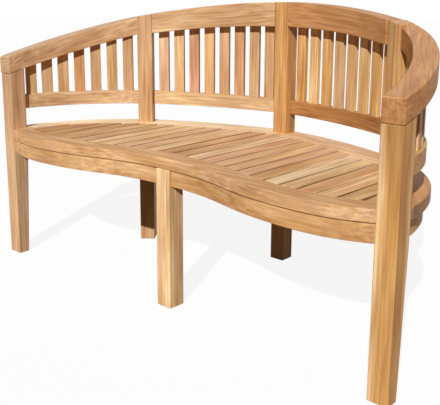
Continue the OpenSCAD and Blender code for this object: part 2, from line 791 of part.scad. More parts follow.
// Its upper part is as wide as the opening between the boards
module lifted(x0, y0, w, d) {
    translate([x0, y0, apron_z]) cube([w, d, board_z - fit - apron_z]);
    translate([0, 0, board_z - 1])
        linear_extrude(slat_z - fit - board_z + 1)
            intersection() {
                translate([x0, y0]) square([w, d]);
                opening(-fit);
            }
}
module seat_stretcher() {
    y0 = mid_leg.y + leg / 2 + fit;
    y1 = rear_mid.y - post / 2 - fit;
    color(dark) difference() {
        union() {
            lifted(-bearer_w / 2, y0, bearer_w, y1 - y0);
            rail_tenon(mid_leg, 0, leg, 90, 0, apron_z, board_z, short_root);
            rail_tenon(rear_mid, 0, post, 270, 0, apron_z, board_z, short_root);
        }
        inner_tenon(fit);
        mirror([1, 0, 0]) inner_tenon(fit);
    }
}
module inner_tenon(g) {
    translate([bearer_w / 2 - bearer_w / 3 - g, bearer_y - tenon_t / 2 - g, apron_z + shoulder - g])
        cube([bearer_w / 3 + short_root + g, tenon_t + 2 * g, apron_h - 2 * shoulder + 2 * g]);
}
module bearer_tenon(g) {
    translate([bearer_end - bearer_root, bearer_y - tenon_t / 2 - g, apron_z + shoulder - g])
        cube([bearer_root + apron_t * 0.6 + g, tenon_t + 2 * g, apron_h - 2 * shoulder + 2 * g]);
}
module bearer_solid() {
    inner_r = rim_r - apron_in - apron_t - fit;
    union() {
        difference() {
            lifted(bearer_w / 2 + fit, bearer_y - bearer_w / 2, bearer_end - bearer_w / 2, bearer_w);
            curved_bar(rim_c, inner_r, rim_r + 5 * past, rim_a + 10, rim_b - 10, 0, board_z + 1);
        }
        inner_tenon(0);
        bearer_tenon(0);
    }
}
module right_bearer() { color(dark) bearer_solid(); }
module left_bearer() { color(dark) mirror([1, 0, 0]) bearer_solid(); }

// Seat slats, numbered from left to right, each cut to the curves at its ends
module seat_slat(i) {
    x = (i - (SEAT_SLATS + 1) / 2) * seat_pitch;
    w = seat_pitch - seat_gap;
    color(pale) union() {
        translate([0, 0, slat_z])
            linear_extrude(seat_t)
                intersection() {
                    translate([x - w / 2, -big / 2]) square([w, big]);
                    opening(-fit);
                }
        translate([0, 0, tongue_z])
            linear_extrude(tongue_h)
                intersection() {
                    translate([x - w / 2, -big / 2]) square([w, big]);
                    opening(tongue);
                }
    }
}

// Pegs and dowels
module joint_pegs() {
    color(dark) {
        pegs(right_pegs, 0);
        mirror([1, 0, 0]) pegs(right_pegs, 0);
        pegs(middle_pegs, 0);
    }
}
module seat_dowels() {
    color(dark) {
        dowels(0);
        mirror([1, 0, 0]) dowels(0);
    }
}

left_front_leg();
middle_front_leg();
right_front_leg();
left_rear_leg();
middle_rear_leg();
right_rear_leg();
left_arm();
left_top_rail();
right_top_rail();
right_arm();
left_side_lower_rail();
left_back_lower_rail();
right_back_lower_rail();
right_side_lower_rail();
left_side_slats();
left_back_slats();
right_back_slats();
right_side_slats();
front_seat_board();
left_rear_board();
right_rear_board();
left_side_board();
right_side_board();
left_front_rail();
right_front_rail();
left_rear_rail();
right_rear_rail();
left_side_rail();
right_side_rail();
seat_stretcher();
left_bearer();
right_bearer();
joint_pegs();
seat_dowels();
for (i = [1 : SEAT_SLATS])
    seat_slat(i);
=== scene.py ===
# %% [markdown]
# A curved garden bench in teak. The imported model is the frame: every piece drawn here takes the
# place of one of its nodes, keeps that node's size and place, and rides on the same body. What is
# added is what a joiner's hands leave: eased edges, grain along each board and boards of many tones.

# %% The frame and its box
import math

import bpy
import numpy as np
from mathutils import Matrix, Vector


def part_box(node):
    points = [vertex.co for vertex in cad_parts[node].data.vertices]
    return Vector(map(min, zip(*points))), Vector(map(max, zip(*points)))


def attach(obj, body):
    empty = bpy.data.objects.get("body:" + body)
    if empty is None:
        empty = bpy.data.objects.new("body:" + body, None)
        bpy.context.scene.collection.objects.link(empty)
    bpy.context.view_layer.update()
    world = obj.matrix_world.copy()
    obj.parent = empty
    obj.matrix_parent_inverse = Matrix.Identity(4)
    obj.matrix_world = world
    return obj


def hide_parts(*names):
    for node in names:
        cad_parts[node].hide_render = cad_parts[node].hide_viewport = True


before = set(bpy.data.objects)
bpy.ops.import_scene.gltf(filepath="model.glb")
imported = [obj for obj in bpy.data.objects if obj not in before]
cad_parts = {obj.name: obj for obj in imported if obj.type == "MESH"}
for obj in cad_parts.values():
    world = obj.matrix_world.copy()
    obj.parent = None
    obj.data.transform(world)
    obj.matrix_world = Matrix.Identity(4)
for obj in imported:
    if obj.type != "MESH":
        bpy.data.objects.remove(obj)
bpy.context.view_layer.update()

# %% [markdown]
# Every place is worked out from the frame where the frame holds it: the legs' middles, the seat's
# height, the rails' levels. The bulges of the curves are the joiner's own templates, so they are
# named here, in millimetres turned to metres.

# %% Places read from the frame
MM = 0.001


def ends(node):
    """Lowest and highest corner of a node, as two arrays."""
    low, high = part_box(node)
    return np.array(low), np.array(high)


def middle(node):
    """Middle of a node's box in plan."""
    low, high = ends(node)
    return ((low + high) / 2)[:2]


front_low, front_high = ends("right_front_leg")
post_low, post_high = ends("middle_rear_leg")
rail_low, rail_high = ends("right_back_lower_rail")
board_low, board_high = ends("front_seat_board")
LEG = front_high[0] - front_low[0]
POST = post_high[0] - post_low[0]
side_x = front_high[0]
front_y = front_low[1]
leg_rear_y = front_y + LEG
peak_y = board_low[1]
seat_z = board_high[2]
board_z = board_low[2]
apron_z = ends("right_front_rail")[0][2]
low_z, low_top = rail_low[2], rail_high[2]
back_z = post_high[2]
rear_mid = middle("middle_rear_leg")
rear_side = middle("right_rear_leg")
print(f"legs {LEG:.3f} and {POST:.3f} square, seat at {seat_z:.3f}, back at {back_z:.3f}")

# %% Sizes of the curves and sections
# Tops of the outer rear legs and of the arms' front ends
SIDE_Z = 813 * MM
ARM_Z = 678 * MM
# Arms: step below the leg's top, thickness, sag, setbacks at the leg, overhang past the front leg
ARM_DROP = 3 * MM
ARM_T = 56 * MM
ARM_SAG = 4 * MM
ARM_SET, ARM_REAR = 14 * MM, 4 * MM
ARM_SIDE, ARM_OVER = 2 * MM, 2 * MM
ARM_IN_BULGE, ARM_OUT_BULGE, ARM_BULGE = 33 * MM, 50 * MM, 42 * MM
# Top rails: bulge of the back's line, width, depths at the middle and outer legs, power of the fall
BACK_BULGE = 26 * MM
RAIL_W = 50 * MM
RAIL_MID_H, RAIL_SIDE_H = 78 * MM, 67 * MM
FALL_POWER = 1.8
# Lower rails and slats: the slats' ends go SLAT_IN into the rails, SLAT_BACK behind the legs' line
LOW_T = 28 * MM
SLAT_W, SLAT_T, SLAT_IN, SLAT_BACK = 36 * MM, 14 * MM, 14 * MM, 11.5 * MM
BACK_SLATS, SIDE_SLATS = 8, 7
# Front board: width, depth of its hollow, step behind the legs' fronts, place of its bulges
FRONT_W, HOLLOW, EDGE_BACK = 62 * MM, 76 * MM, 4 * MM
BULGE_IN = 231 * MM
# Rear and side boards: reach behind and before the legs' middles, width at the front leg, bulges of
# the inner and outer lines
RIM_OUT, RIM_IN, RIM_SIDE_IN, SIDE_W = 39 * MM, 48 * MM, 60 * MM, 70 * MM
IN_BACK_BULGE, IN_SIDE_BULGE = 24 * MM, 49 * MM
RIM_BULGE, RIM_END = 54 * MM, 7 * MM
# Seat slats: number, side margin, gap, thickness
SEAT_SLATS, SEAT_SIDE, SEAT_GAP, SEAT_T = 25, 59.75 * MM, 8 * MM, 18 * MM
# Rails under the seat: setbacks from the boards' edges, thickness
APRON_BACK, APRON_IN, APRON_T = 5 * MM, 15 * MM, 22 * MM
# Depth of an outer front leg at the floor, gap between pieces that meet, turn of the outer rear legs,
# stations of a curve
LEG_FOOT = 38 * MM
FIT = 0.3 * MM
SIDE_TURN = math.radians(38)
STEPS = 25
print("sizes set; one curve has", STEPS, "stations")

# %% [markdown]
# Curves on this bench are arcs, drawn round a centre as a joiner would strike them with a trammel.
# An arc is given by its two ends and its bulge. Rails that meet a leg are cut where the arc crosses
# the leg's face, so each of their edges gets its own cutting point.


# %% Arcs in plan
def unit(v):
    """The same direction with length one, along the last axis."""
    v = np.asarray(v, float)
    return v / np.linalg.norm(v, axis=-1, keepdims=True)


def arc_through(a, b, bulge):
    """Centre and radius of the arc from a to b: radius = (half chord squared + bulge squared) / 2 bulge,
    and the centre lies on the chord's middle line, to the right of the way from a to b."""
    a, b = np.asarray(a, float), np.asarray(b, float)
    chord = b - a
    radius = (chord @ chord / 4 + bulge**2) / (2 * bulge)
    left = unit([-chord[1], chord[0]])
    return (a + b) / 2 - left * (radius - bulge), radius


def meet(arc, grown_by, point, way):
    """Crossing of the arc, its radius grown, with the line through point along way, the nearer one."""
    centre, radius = arc[0], arc[1] + grown_by
    way = unit(way)
    offset = np.asarray(point, float) - centre
    b = offset @ way
    root = math.sqrt(b * b - offset @ offset + radius**2)
    return point + way * min(-b + root, -b - root, key=abs)


def bearing(arc, points):
    """Angle of the points seen from the arc's centre."""
    d = np.asarray(points) - arc[0]
    return np.arctan2(d[..., 1], d[..., 0])


def at_angles(arc, grown_by, a, b, count):
    """Points on the arc, its radius grown, between two angles."""
    angle = np.linspace(a, b, count)
    return arc[0] + (arc[1] + grown_by) * np.stack([np.cos(angle), np.sin(angle)], 1)


def stroke(arc, grown_by, a, b, count=STEPS):
    """Points on the arc, its radius grown, from the bearing of a to the bearing of b."""
    return at_angles(arc, grown_by, bearing(arc, a), bearing(arc, b), count)


def on_side_leg(x, y):
    """Plan point in the outer rear leg's own axes: x across its face, y to its back."""
    return rear_side + x * SIDE_ACROSS + y * SIDE_BACK


SIDE_ACROSS = np.array([math.cos(SIDE_TURN), -math.sin(SIDE_TURN)])
SIDE_BACK = np.array([math.sin(SIDE_TURN), math.cos(SIDE_TURN)])
back_arc = arc_through(rear_mid, rear_side, BACK_BULGE)
print("the back is struck at a radius of", round(back_arc[1], 3), "m")

# %% [markdown]
# One builder makes nearly every piece: four corner lines run along the piece, and a rounded section
# is carried along them. A corner's rounding is a quarter circle between the two sides that meet
# there, and the ends are rounded in the same way, so a fingertip would find no sharp edge. Normals
# are worked out with the shape, so wide faces stay flat and only the edges shade round.


# %% A bar with rounded edges
# Towards an end a rounding never gets smaller than this share of the smallest edge
LEAST_EDGE = 0.15


def bar(corners, edge, end=None, curve=2):
    """A closed solid through stations of four corners, array (stations, 4, xyz). A point of a corner's
    rounding is corner + r((1 - sin f) u + (1 - cos f) v), u and v running to the next and the last
    corner. At the ends the section draws in by e(1 - cos t) over a depth of e(1 - sin t)."""
    c = np.asarray(corners, float)
    edge = np.broadcast_to(np.asarray(edge, float), 4)
    end = edge.min() if end is None else end
    turn = np.linspace(0, np.pi / 2, curve + 1)
    out_a, out_b = unit(c[0] - c[1]), unit(c[-1] - c[-2])
    cap_a = c[0] - out_a * (end * (1 - np.sin(turn[::-1])))[:, None, None]
    cap_b = c[-1] - out_b * (end * (1 - np.sin(turn)))[:, None, None]
    rings = np.concatenate([cap_a, c[1:-1], cap_b])
    zero = np.zeros(len(c) - 2)
    inset = np.concatenate([end * (1 - np.cos(turn[::-1])), zero, end * (1 - np.cos(turn))])
    lean = np.concatenate([np.sin(turn[::-1]), zero, np.sin(turn)])[:, None, None, None]
    facing = np.concatenate([np.repeat(out_a[None], len(rings) // 2, 0),
                             np.repeat(out_b[None], len(rings) - len(rings) // 2, 0)])
    u = unit(np.roll(rings, -1, axis=1) - rings)[:, :, None, :]
    v = unit(np.roll(rings, 1, axis=1) - rings)[:, :, None, :]
    inset = inset[:, None, None, None]
    radius = np.maximum(edge[None, :, None, None] - inset, LEAST_EDGE * edge.min())
    f = turn[::-1][None, None, :, None]
    rounding = (1 - np.sin(f)) * u + (1 - np.cos(f)) * v
    points = rings[:, :, None, :] + inset * (u + v) + radius * rounding
    normals = -(np.sin(f) * u + np.cos(f) * v)
    normals = unit(np.sqrt(1 - lean**2) * normals + lean * facing[:, :, None, :])
    count, around = len(rings), 4 * (curve + 1)
    return closed(points.reshape(count, around, 3), normals.reshape(count, around, 3))


def closed(points, normals):
    """Faces for a grid of rings: one quad between neighbours, one face over each end, turned outwards
    by the sign of the volume, the sum of a . (b x c) / 6 over the triangles."""
    count, around = points.shape[:2]
    i, j = np.meshgrid(np.arange(count - 1), np.arange(around), indexing="ij")
    a, b = i * around + j, i * around + (j + 1) % around
    quads = np.stack([a, b, b + around, a + around], -1).reshape(-1, 4)
    first, last = np.arange(around)[::-1], np.arange(around) + (count - 1) * around
    co = points.reshape(-1, 3)
    fans = [np.stack([np.full(around - 2, cap[0]), cap[1:-1], cap[2:]], 1) for cap in (first, last)]
    tris = np.concatenate([quads[:, [0, 1, 2]], quads[:, [0, 2, 3]], *fans])
    volume = np.einsum("ij,ij->i", co[tris[:, 0]], np.cross(co[tris[:, 1]], co[tris[:, 2]])).sum() / 6
    faces = quads.tolist() + [first.tolist(), last.tolist()]
    if volume < 0:
        faces = [face[::-1] for face in faces]
    return {"co": co, "normal": normals.reshape(-1, 3), "faces": faces, "volume": abs(volume)}


def lines(p, q, low_p, top_p, low_q=None, top_q=None):
    """Corner lines between two plan lines p and q, with the heights of their undersides and tops."""
    low_q = low_p if low_q is None else low_q
    top_q = top_p if top_q is None else top_q
    rows = [(p, low_p), (q, low_q), (q, top_q), (p, top_p)]
    return np.stack([np.column_stack([xy, np.broadcast_to(z, len(xy))]) for xy, z in rows], 1)


def mirror(corners):
    """The same corners on the other side of the bench."""
    return np.asarray(corners) * [-1, 1, 1]


cube = lines(np.array([[0, 0], [0, 1.0]]), np.array([[1, 0], [1, 1.0]]), 0, 1)
print("a test bar holds", round(bar(cube, 0.01)["volume"], 4), "of a cube")

# %% [markdown]
# Teak is cut from planks, so the grain of a curved piece runs straight along its chord and runs out
# at its sides. Each solid therefore carries its own wood coordinates: along, across and through the
# plank, shifted at random as if it came from another place in the log. It also carries the tone of
# its plank, because no two slats of such a bench match.

# %% Tones of the planks
TONES = {
    "honey": "#c99c62", "straw": "#d1b181", "pale": "#e4c79e", "rose": "#c39273", "tan": "#ae8356",
    "amber": "#bd884a", "biscuit": "#caa881", "walnut": "#a2703f", "clay": "#bd8655", "sand": "#d6ab7c",
}
TONE_SPREAD = 0.05
# From this slope on, a grain direction counts as upright
NEARLY_UPRIGHT = 0.9
# How far apart in the log two pieces may lie, in metres along, across and through the plank
LOG_SPREAD = np.array([2.0, 0.05, 0.02])
FROM_PITH = np.array([0, 0, 0.07])


def linear(text):
    """Linear RGBA of an sRGB hex colour."""
    parts = [int(text[i:i + 2], 16) / 255 for i in (1, 3, 5)]
    return [p / 12.92 if p <= 0.04045 else ((p + 0.055) / 1.055) ** 2.4 for p in parts] + [1.0]


rng = np.random.default_rng(11)


def grown(solid, way, tone, heart=None):
    """The solid with wood coordinates: its points turned so that x runs along the grain, and shifted.
    tone is one name, or several that share alike. heart is a direction and a reach in mm: wood that
    lies further than this from the solid's middle, on either side, is pale sapwood."""
    along = unit(way)
    across = unit(np.cross([1, 0, 0] if abs(along[2]) >= NEARLY_UPRIGHT else [0, 0, 1], along))
    axes = np.stack([along, across, np.cross(along, across)])
    shift = rng.uniform(-1, 1, 3) * LOG_SPREAD + FROM_PITH
    solid["grain"] = (solid["co"] - solid["co"].mean(0)) @ axes.T + shift
    names = tone.split("+")
    colour = np.mean([linear(TONES[n]) for n in names], axis=0)
    colour[:3] *= rng.uniform(1 - TONE_SPREAD, 1 + TONE_SPREAD)
    solid["timber"] = np.tile(colour, (len(solid["co"]), 1))
    if heart is None:
        solid["sap"] = np.full(len(solid["co"]), -1.0)
    else:
        centre = (solid["co"].min(0) + solid["co"].max(0)) / 2
        solid["sap"] = np.abs((solid["co"] - centre) @ unit(heart[0])) - heart[1] * MM
    return solid


print("tones:", ", ".join(TONES))

# %% [markdown]
# The finish is sanded, unoiled teak: matte, with fine dark pores a few millimetres long and growth
# rings that show as soft stripes. Streaks run between rosy and golden, and some boards have a band
# of pale sapwood at an edge, where the plank reached the outside of the tree. All of it is worked
# out inside the wood, from the wood coordinates, so stripes on a face carry on over its edges and
# end grain shows at the ends. At this picture's scale a fibre of 0.3 mm would vanish, so fibres are
# drawn six times as wide.

# %% The teak material
# Widths across the grain, and how many times longer each pattern is along it
RING_MM, FIBRE_MM, STREAK_MM, DRIFT_MM = 11.0, 1.8, 8.0, 38.0
FIBRE_LONG, STREAK_LONG, DRIFT_LONG = 35, 24, 7
# At scale 1 the rings of a wave texture lie this many units apart
WAVE_UNIT = 0.314
# The log's pith runs a little askew to the plank, and rings change slowly along it
LOG_STRETCH, LOG_SKEW = (0.05, 1, 1), (0, 0.012, 0.016)
# Noise seldom leaves the middle of its range, so each pattern is spread from that
NOISE_SPAN, RING_SPAN, HUE_SPAN, PORE_SPAN = (0.33, 0.67), (0.4, 0.6), (0.35, 0.65), (0.3, 0.7)
# Factors on the light at the low and the high end of each pattern
FIBRE_LIGHT, STREAK_LIGHT, DRIFT_LIGHT = (0.93, 1.06), (0.79, 1.2), (0.8, 1.19)
RING_CONTRAST = 0.2
ROSY_BLUE = (0.86, 1.16)
# Darker wood is also redder: each channel follows the light with a power of its own
RED_POWER, GREEN_POWER, BLUE_POWER = 0.8, 1.15, 1.5
SAP_WOBBLE_MM, SAP_BLEND_MM, SAP_SHARE, SAPWOOD = 20.0, 7.0, 0.8, "#dcb98a"
PORE_MM = 0.4
ROUGH_PORE, ROUGH_WOOD = 0.62, 0.5


def add(tree, kind, settings=None, links=None):
    """One node of that kind, with its settings and the sockets linked into it."""
    node = tree.nodes.new(kind)
    for key, value in (settings or {}).items():
        if isinstance(key, str) and hasattr(node, key):
            setattr(node, key, value)
        else:
            node.inputs[key].default_value = value
    for key, source in (links or {}).items():
        tree.links.new(source, node.inputs[key])
    return node


def grain_noise(tree, where, across_mm, along_mm, detail):
    """Noise whose cells are across_mm wide and along_mm long, laid along the grain."""
    size = (1000 / along_mm, 1000 / across_mm, 1000 / across_mm)
    cells = add(tree, "ShaderNodeMapping", {"Scale": size}, {"Vector": where})
    return add(tree, "ShaderNodeTexNoise", {"Scale": 1.0, "Detail": detail, "Roughness": 0.6},
               {"Vector": cells.outputs[0]})


def between(tree, value, edges, low_high):
    """Value spread from the two edges to the two results: low at the first edge, high at the second."""
    return add(tree, "ShaderNodeMapRange", {"From Min": edges[0], "From Max": edges[1],
                                            "To Min": low_high[0], "To Max": low_high[1]},
               {"Value": value}).outputs[0]


def power(tree, value, exponent):
    """Value raised to the exponent."""
    return add(tree, "ShaderNodeMath", {"operation": "POWER", 1: exponent}, {0: value}).outputs[0]


def times(tree, a, b):
    """Product of two values."""
    return add(tree, "ShaderNodeMath", {"operation": "MULTIPLY"}, {0: a, 1: b}).outputs[0]


def teak(name, source="grain", own_tone=None, bump=0.25):
    """Sanded teak. source is the attribute with wood coordinates, or object for the object's own."""
    material = bpy.data.materials.new(name)
    material.use_nodes = True
    tree = material.node_tree
    tree.nodes.clear()
    if source == "object":
        where = add(tree, "ShaderNodeTexCoord").outputs["Object"]
    else:
        where = add(tree, "ShaderNodeAttribute", {"attribute_name": source}).outputs["Vector"]
    log = add(tree, "ShaderNodeMapping", {"Scale": LOG_STRETCH, "Rotation": LOG_SKEW}, {"Vector": where})
    rings = add(tree, "ShaderNodeTexWave",
                {"wave_type": "RINGS", "rings_direction": "X", "Scale": WAVE_UNIT / (RING_MM * MM),
                 "Distortion": 5.0, "Detail": 3.0, "Detail Scale": 0.35, "Detail Roughness": 0.6},
                {"Vector": log.outputs[0]})
    fibres = grain_noise(tree, where, FIBRE_MM, FIBRE_LONG * FIBRE_MM, 3.0).outputs["Fac"]
    streaks = grain_noise(tree, where, STREAK_MM, STREAK_LONG * STREAK_MM, 2.0)
    drift = grain_noise(tree, where, DRIFT_MM, DRIFT_LONG * DRIFT_MM, 2.0)
    fields = add(tree, "ShaderNodeSeparateColor", None, {"Color": drift.outputs["Color"]})
    # Rings show in places only: their contrast follows the second of the drift's fields
    contrast = between(tree, fields.outputs["Green"], RING_SPAN, (0.0, RING_CONTRAST))
    centred = add(tree, "ShaderNodeMath", {"operation": "SUBTRACT", 1: 0.5}, {0: rings.outputs["Fac"]})
    light = add(tree, "ShaderNodeMath", {"operation": "MULTIPLY_ADD", 2: 1.0},
                {0: centred.outputs[0], 1: contrast}).outputs[0]
    for field, low_high in ((fibres, FIBRE_LIGHT), (streaks.outputs["Fac"], STREAK_LIGHT),
                            (fields.outputs["Red"], DRIFT_LIGHT)):
        light = times(tree, light, between(tree, field, NOISE_SPAN, low_high))
    # Wood wanders between rosy and golden, in streaks: their second field sets the share of blue
    hues = add(tree, "ShaderNodeSeparateColor", None, {"Color": streaks.outputs["Color"]})
    rosy = between(tree, hues.outputs["Green"], HUE_SPAN, ROSY_BLUE)
    figure = add(tree, "ShaderNodeCombineColor", None,
                 {"Red": power(tree, light, RED_POWER), "Green": power(tree, light, GREEN_POWER),
                  "Blue": times(tree, power(tree, light, BLUE_POWER), rosy)})
    colour = add(tree, "ShaderNodeMix", {"data_type": "RGBA", "blend_type": "MULTIPLY", 0: 1.0},
                 {7: figure.outputs[0]})
    if own_tone:
        colour.inputs[6].default_value = linear(TONES[own_tone])
    else:
        tone = add(tree, "ShaderNodeAttribute", {"attribute_name": "timber"})
        depth = add(tree, "ShaderNodeAttribute", {"attribute_name": "sap"})
        wobble = add(tree, "ShaderNodeMath", {"operation": "MULTIPLY_ADD", 1: SAP_WOBBLE_MM * MM},
                     {0: fields.outputs["Blue"], 2: depth.outputs["Fac"]})
        # The wobble is half of its width on average, so the band begins there
        edges = (SAP_WOBBLE_MM / 2 * MM, (SAP_WOBBLE_MM / 2 + SAP_BLEND_MM) * MM)
        pale = between(tree, wobble.outputs[0], edges, (0.0, SAP_SHARE))
        two_tone = add(tree, "ShaderNodeMix", {"data_type": "RGBA", 7: linear(SAPWOOD)},
                       {0: pale, 6: tone.outputs["Color"]})
        tree.links.new(two_tone.outputs[2], colour.inputs[6])
    pores = add(tree, "ShaderNodeBump", {"Strength": bump, "Distance": PORE_MM * MM}, {"Height": fibres})
    rough = between(tree, fibres, PORE_SPAN, (ROUGH_PORE, ROUGH_WOOD))
    # Bare wood mirrors little: its open pores swallow part of what varnish would throw back
    shader = add(tree, "ShaderNodeBsdfPrincipled", {"IOR": 1.45, "Specular IOR Level": 0.35},
                 {"Base Color": colour.outputs[2], "Roughness": rough, "Normal": pores.outputs[0]})
    add(tree, "ShaderNodeOutputMaterial", None, {"Surface": shader.outputs[0]})
    return material


sanded_teak = teak("sanded teak")
sawn_teak = teak("sawn teak", source="object", own_tone="tan", bump=0.4)
print("ring spacing", RING_MM, "mm, fibres", FIBRE_MM, "mm wide")

# %% [markdown]
# A piece can be one solid, such as a rail, or a set of them, such as a group of slats. It takes the
# place of one node of the frame, which says what it is called and where it ends.

# %% Putting a piece in place
def piece(node, solids):
    """One mesh of the solids in place of the node, riding on the bench."""
    starts = np.cumsum([0] + [len(s["co"]) for s in solids])
    faces = [[v + start for v in face] for s, start in zip(solids, starts) for face in s["faces"]]
    co = np.concatenate([s["co"] for s in solids])
    mesh = bpy.data.meshes.new(node)
    mesh.from_pydata(co.tolist(), [], faces)
    for name, kind, field in (("grain", "FLOAT_VECTOR", "vector"), ("timber", "FLOAT_COLOR", "color"),
                              ("sap", "FLOAT", "value")):
        values = np.concatenate([s[name] for s in solids]).astype(np.float32)
        mesh.attributes.new(name, kind, "POINT").data.foreach_set(field, values.ravel())
    mesh.polygons.foreach_set("use_smooth", [True] * len(mesh.polygons))
    normals = np.concatenate([s["normal"] for s in solids])
    mesh.normals_split_custom_set_from_vertices(normals.tolist())
    mesh.materials.append(sanded_teak)
    thing = bpy.data.objects.new("teak_" + node, mesh)
    bpy.context.scene.collection.objects.link(thing)
    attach(thing, "root")
    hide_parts(node)
    low, high = ends(node)
    out = max((low - co.min(0)).max(), (co.max(0) - high).max(), 0)
    print(f"{node}: {len(faces)} faces, at most {out / MM:.1f} mm outside the node's box")


print("pieces to dress:", len(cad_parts))

# %% [markdown]
# Six legs carry the bench. The front ones are square and stand under the arms; the two outer ones
# lose wood on their rear faces towards the floor. The rear ones are one piece from the floor to the
# top of the back, and the outer two are turned towards the sitters.

# %% Legs
LEG_EDGE = 2.5 * MM


def plan_box(x0, x1, y0, y1):
    """Four plan corners of a box that stands square to the bench."""
    return [(x0, y0), (x1, y0), (x1, y1), (x0, y1)]


def upright(corners, heights):
    """Corner lines of a leg from its four plan corners at each height."""
    return np.array([[[*xy, z] for xy, z in zip(plan, level)] for plan, level in zip(corners, heights)])


def arm_share(y):
    """How far a point is on the way from the arm's front end to the rear leg, 0 to 1."""
    return (y - arm_front_y) / (arm_out[0][1] - arm_front_y)


def arm_top(y):
    """Height of the arm's top: a straight slope from front to back less a parabola of the sag."""
    s = arm_share(y)
    return ARM_Z + (SIDE_Z - ARM_DROP - ARM_Z) * s - 4 * ARM_SAG * s * (1 - s)


arm_front_y = front_y - ARM_OVER
arm_in = (on_side_leg(POST / 2, -POST / 2 + ARM_SET), np.array([side_x - LEG - ARM_SIDE, leg_rear_y]))
arm_out = (on_side_leg(POST / 2, POST / 2 - ARM_REAR), np.array([side_x + ARM_SIDE, leg_rear_y]))
square = plan_box(side_x - LEG, side_x, front_y, leg_rear_y)
foot = plan_box(side_x - LEG, side_x, front_y, front_y + LEG_FOOT)
leg_tops = [arm_top(y) - ARM_T - FIT for _, y in square]
front_leg = upright([foot, square, square], [[0] * 4, [apron_z] * 4, leg_tops])
xm, ym = middle("middle_front_leg")
half = LEG / 2
middle_plan = plan_box(xm - half, xm + half, ym - half, ym + half)
middle_leg = upright([middle_plan] * 2, [[0] * 4, [board_z - FIT] * 4])
h = POST / 2
xr, yr = rear_mid
mid_post = upright([plan_box(xr - h, xr + h, yr - h, yr + h)] * 2, [[0] * 4, [back_z] * 4])
back_length = back_arc[1] * abs(bearing(back_arc, rear_mid) - bearing(back_arc, rear_side))
slope = FALL_POWER * (back_z - SIDE_Z) / back_length
side_plan = [on_side_leg(-h, -h), on_side_leg(h, -h), on_side_leg(h, h), on_side_leg(-h, h)]
side_tops = [SIDE_Z + slope * h, SIDE_Z - slope * h, SIDE_Z - slope * h, SIDE_Z + slope * h]
side_post = upright([side_plan] * 2, [[0] * 4, side_tops])
UP = [0, 0, 1]
ACROSS, TO_BACK, CORNER = [1, 0, 0], [0, 1, 0], [1, 1, 0]
# Two legs have sapwood: one towards two of its corners, one along its front and rear faces
for node, corners, tone, heart in (
    ("left_front_leg", mirror(front_leg), "rose+straw", None),
    ("right_front_leg", front_leg, "honey+amber", (CORNER, 25)),
    ("middle_front_leg", middle_leg, "clay+honey", (TO_BACK, 18)),
    ("middle_rear_leg", mid_post, "amber+honey+tan", None),
    ("left_rear_leg", mirror(side_post), "biscuit+tan+walnut", None),
    ("right_rear_leg", side_post, "tan+honey", None),
):
    piece(node, [grown(bar(corners, LEG_EDGE), UP, tone, heart)])

# %% [markdown]
# The back and the arms are one sweeping line in plan. The top rails fall from the middle leg to the
# outer legs, slowly at first, and get slimmer on the way; the arms go on down to the front legs and
# widen as they go. Between two legs each piece is cut from one thick plank.

# %% Top rails and arms
RAIL_EDGE = 3 * MM
# The top rail's faces, before and behind the line through the legs' middles
IN_FRONT, BEHIND = -POST / 2, RAIL_W - POST / 2
# The arm's inner line ends this far inside the leg's inner face
ARM_SQUARE = 0.5 * MM
# Fall of the grain from one end of a top rail's plank to the other
GRAIN_FALL = 40 * MM


def between_posts(arc, grown_by):
    """Plan line of the back between the faces of the middle and the outer rear leg."""
    a = meet(arc, grown_by, np.array([POST / 2 + FIT, rear_mid[1]]), [0, 1])
    b = meet(arc, grown_by, on_side_leg(-POST / 2 - FIT, 0), SIDE_BACK)
    return stroke(arc, grown_by, a, b)


def back_share(xy):
    """How far a point is on the way round the back, 0 at the middle leg and 1 at the outer one."""
    a, b = bearing(back_arc, rear_mid), bearing(back_arc, rear_side)
    return (a - bearing(back_arc, xy)) / (a - b)


def back_top(share):
    """Height of the top rail's top: it falls with the share raised to a power."""
    return back_z - (back_z - SIDE_Z) * share**FALL_POWER


def back_under(share):
    """Height of its underside: the top less a depth that shrinks evenly."""
    return back_top(share) - (RAIL_MID_H + (RAIL_SIDE_H - RAIL_MID_H) * share)


inner, outer = between_posts(back_arc, IN_FRONT), between_posts(back_arc, BEHIND)
s_in, s_out = back_share(inner), back_share(outer)
top_rail = lines(inner, outer, back_under(s_in), back_top(s_in), back_under(s_out), back_top(s_out))
in_arc = arc_through(*arm_in, ARM_IN_BULGE)
out_arc = arc_through(*arm_out, ARM_OUT_BULGE)
inner = np.vstack([stroke(in_arc, 0, *arm_in), [side_x - LEG + ARM_SQUARE, arm_front_y]])
outer = np.vstack([stroke(out_arc, 0, *arm_out), [side_x + ARM_SIDE, arm_front_y]])
heights = [arm_top(inner[:, 1]), arm_top(outer[:, 1])]
arm = lines(inner, outer, heights[0] - ARM_T, heights[0], heights[1] - ARM_T, heights[1])
rail_way = [*(rear_side - rear_mid), -GRAIN_FALL]
arm_way = [*(arm_in[1] - arm_in[0]), ARM_Z - SIDE_Z]
flip = np.array([-1, 1, 1])
for node, corners, way, tone in (
    ("right_top_rail", top_rail, rail_way, "clay+tan+walnut"),
    ("left_top_rail", mirror(top_rail), rail_way * flip, "pale+tan+walnut"),
    ("right_arm", arm, arm_way, "clay"),
    ("left_arm", mirror(arm), arm_way * flip, "rose+straw"),
):
    piece(node, [grown(bar(corners, RAIL_EDGE), way, tone)])

# %% [markdown]
# The lower rails follow the same line half a metre up, slimmer than the top rails; those of the back
# are set a little behind the legs' middles. They hold the slats' feet clear of the seat, so that rain
# runs off.

